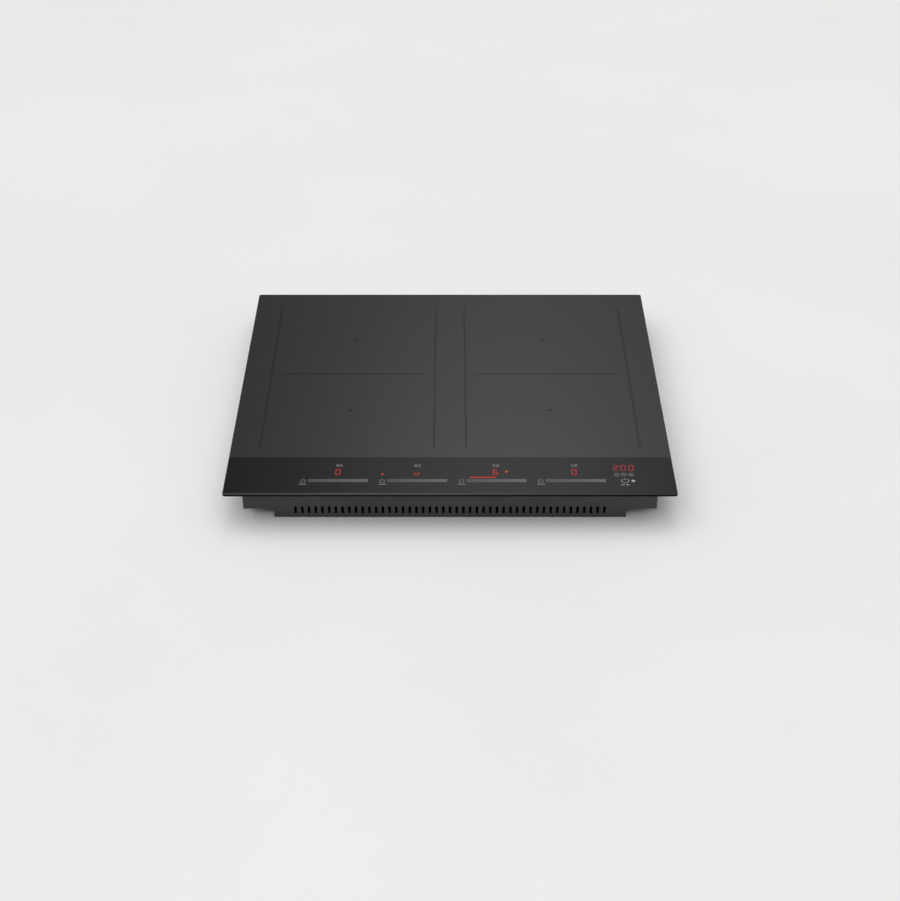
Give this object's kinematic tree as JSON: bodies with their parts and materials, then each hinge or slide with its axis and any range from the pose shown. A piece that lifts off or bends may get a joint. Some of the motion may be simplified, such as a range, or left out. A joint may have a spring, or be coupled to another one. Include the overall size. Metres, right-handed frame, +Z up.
{
  "type": "induction cooktop",
  "caption": "Built-in induction hob: dark glass top with touch controls over a steel tray that drops into a worktop cut-out, with coils, power boards and fans inside.",
  "frame": {"origin": "middle of the footprint, on the surface that the tray stands on", "axes": "+X to the cook's right, +Y to the back, +Z up"},
  "size_m": [0.6, 0.53, 0.055],
  "materials": {
    "ceramic_glass": "polished dark grey ceramic glass",
    "zone_print": "fired enamel print",
    "foam_seal": "closed-cell foam",
    "frame_steel": "fine powder coat",
    "silicone": "satin silicone",
    "tray_steel": "fine powder coat",
    "screw_steel": "zinc plated",
    "galvanised_steel": "galvanised",
    "spring_steel": "bright spring steel",
    "lead_sleeve": "silicone sleeve",
    "dark_plastic": "fine moulded texture",
    "circuit_board": "solder mask",
    "heatsink_aluminium": "extruded",
    "component_black": "moulded epoxy",
    "capacitor_yellow": "film capacitor shell",
    "choke_wire": "enamelled winding",
    "fan_plastic": "glass-filled plastic",
    "motor_steel": "plated stator",
    "filter_parts": "board and potted parts",
    "terminal_plastic": "light moulded plastic",
    "gland_rubber": "rubber",
    "cover_plastic": "fine moulded texture",
    "display_red": "tinted window",
    "light_bar": "diffuser",
    "touch_foam": "conductive foam",
    "ribbon_grey": "flat cable",
    "wire_brown": "wire insulation",
    "deck_aluminium": "pressed sheet",
    "ferrite": "sintered ferrite",
    "sensor_ceramic": "sensor holder",
    "mica_sheet": "mica laminate",
    "carrier_plastic": "heat-resistant plastic",
    "litz_wire": "enamelled stranded aluminium wire",
    "clamp_steel": "zinc plated"
  },
  "bodies": {
    "chassis": {"glass_top": "ceramic_glass", "zone_marks": "zone_print", "worktop_seal": "foam_seal", "glass_frame": "frame_steel", "frame_adhesive": "silicone", "base_tray": "tray_steel", "tray_front_panel": "tray_steel", "tray_rear_panel": "tray_steel", "chassis_screws": "screw_steel", "support_rails": "galvanised_steel", "deck_springs_left": "spring_steel", "deck_springs_right": "spring_steel", "coil_leads_left": "lead_sleeve", "coil_leads_right": "lead_sleeve", "board_carriers": "dark_plastic", "power_board_left": "circuit_board", "power_board_right": "circuit_board", "heatsinks": "heatsink_aluminium", "transistors": "component_black", "capacitors": "capacitor_yellow", "chokes": "choke_wire", "fan_housing_left": "fan_plastic", "fan_housing_right": "fan_plastic", "fan_motors": "motor_steel", "filter_board": "filter_parts", "terminal_box": "dark_plastic", "terminal_block": "terminal_plastic", "cable_clamp": "terminal_plastic", "cable_gland": "gland_rubber", "control_holder": "dark_plastic", "control_board": "circuit_board", "digit_displays": "display_red", "level_lights": "light_bar", "touch_pads": "touch_foam", "ribbon_cable": "ribbon_grey", "mains_wires": "wire_brown", "clamp_screws": "screw_steel"},
    "fan_rotor_left": {"fan_rotor_left": "fan_plastic"},
    "fan_rotor_right": {"fan_rotor_right": "fan_plastic"},
    "coil_deck_left": {"deck_plate_left": "deck_aluminium", "ferrite_bars_left": "ferrite", "heat_sensors_left": "sensor_ceramic", "coil_insulation_left": "mica_sheet", "coil_carrier_front_left": "carrier_plastic", "coil_carrier_rear_left": "carrier_plastic", "coil_winding_front_left": "litz_wire", "coil_winding_rear_left": "litz_wire"},
    "coil_deck_right": {"deck_plate_right": "deck_aluminium", "ferrite_bars_right": "ferrite", "heat_sensors_right": "sensor_ceramic", "coil_insulation_right": "mica_sheet", "coil_carrier_front_right": "carrier_plastic", "coil_carrier_rear_right": "carrier_plastic", "coil_winding_front_right": "litz_wire", "coil_winding_rear_right": "litz_wire"},
    "clamp_front_left": {"clamp_front_left": "clamp_steel"},
    "clamp_front_right": {"clamp_front_right": "clamp_steel"},
    "clamp_rear_left": {"clamp_rear_left": "clamp_steel"},
    "clamp_rear_right": {"clamp_rear_right": "clamp_steel"},
    "terminal_cover": {"terminal_cover": "cover_plastic"}
  },
  "joints": [
    {"name": "fan_left_spin", "type": "hinge", "parent": "chassis", "child": "fan_rotor_left", "pos_m": [-0.058, 0.182, 0.011], "axis": [0, 0, 1], "continuous": true},
    {"name": "fan_right_spin", "type": "hinge", "parent": "chassis", "child": "fan_rotor_right", "pos_m": [0.058, 0.182, 0.011], "axis": [0, 0, 1], "continuous": true},
    {"name": "coil_deck_left_slide", "type": "slide", "parent": "chassis", "child": "coil_deck_left", "axis": [0, 0, 1], "range_m": [-0.003, 0], "stiffness_N_per_m": 6000, "springref_m": 0.008, "deforming": ["deck_springs_left", "coil_leads_left"]},
    {"name": "coil_deck_right_slide", "type": "slide", "parent": "chassis", "child": "coil_deck_right", "axis": [0, 0, 1], "range_m": [-0.003, 0], "stiffness_N_per_m": 6000, "springref_m": 0.008, "deforming": ["deck_springs_right", "coil_leads_right"]},
    {"name": "clamp_front_left_swing", "type": "hinge", "parent": "chassis", "child": "clamp_front_left", "pos_m": [-0.262, -0.215, 0.005], "axis": [0, 0, 1], "range_deg": [0, 90]},
    {"name": "clamp_front_right_swing", "type": "hinge", "parent": "chassis", "child": "clamp_front_right", "pos_m": [0.262, -0.215, 0.005], "axis": [0, 0, -1], "range_deg": [0, 90]},
    {"name": "clamp_rear_left_swing", "type": "hinge", "parent": "chassis", "child": "clamp_rear_left", "pos_m": [-0.262, 0.19, 0.005], "axis": [0, 0, -1], "range_deg": [0, 90]},
    {"name": "clamp_rear_right_swing", "type": "hinge", "parent": "chassis", "child": "clamp_rear_right", "pos_m": [0.262, 0.19, 0.005], "axis": [0, 0, 1], "range_deg": [0, 90]},
    {"name": "terminal_cover_hinge", "type": "hinge", "parent": "chassis", "child": "terminal_cover", "pos_m": [-0.167, 0.171, 0.0045], "axis": [-1, 0, 0], "range_deg": [0, 95]}
  ]
}
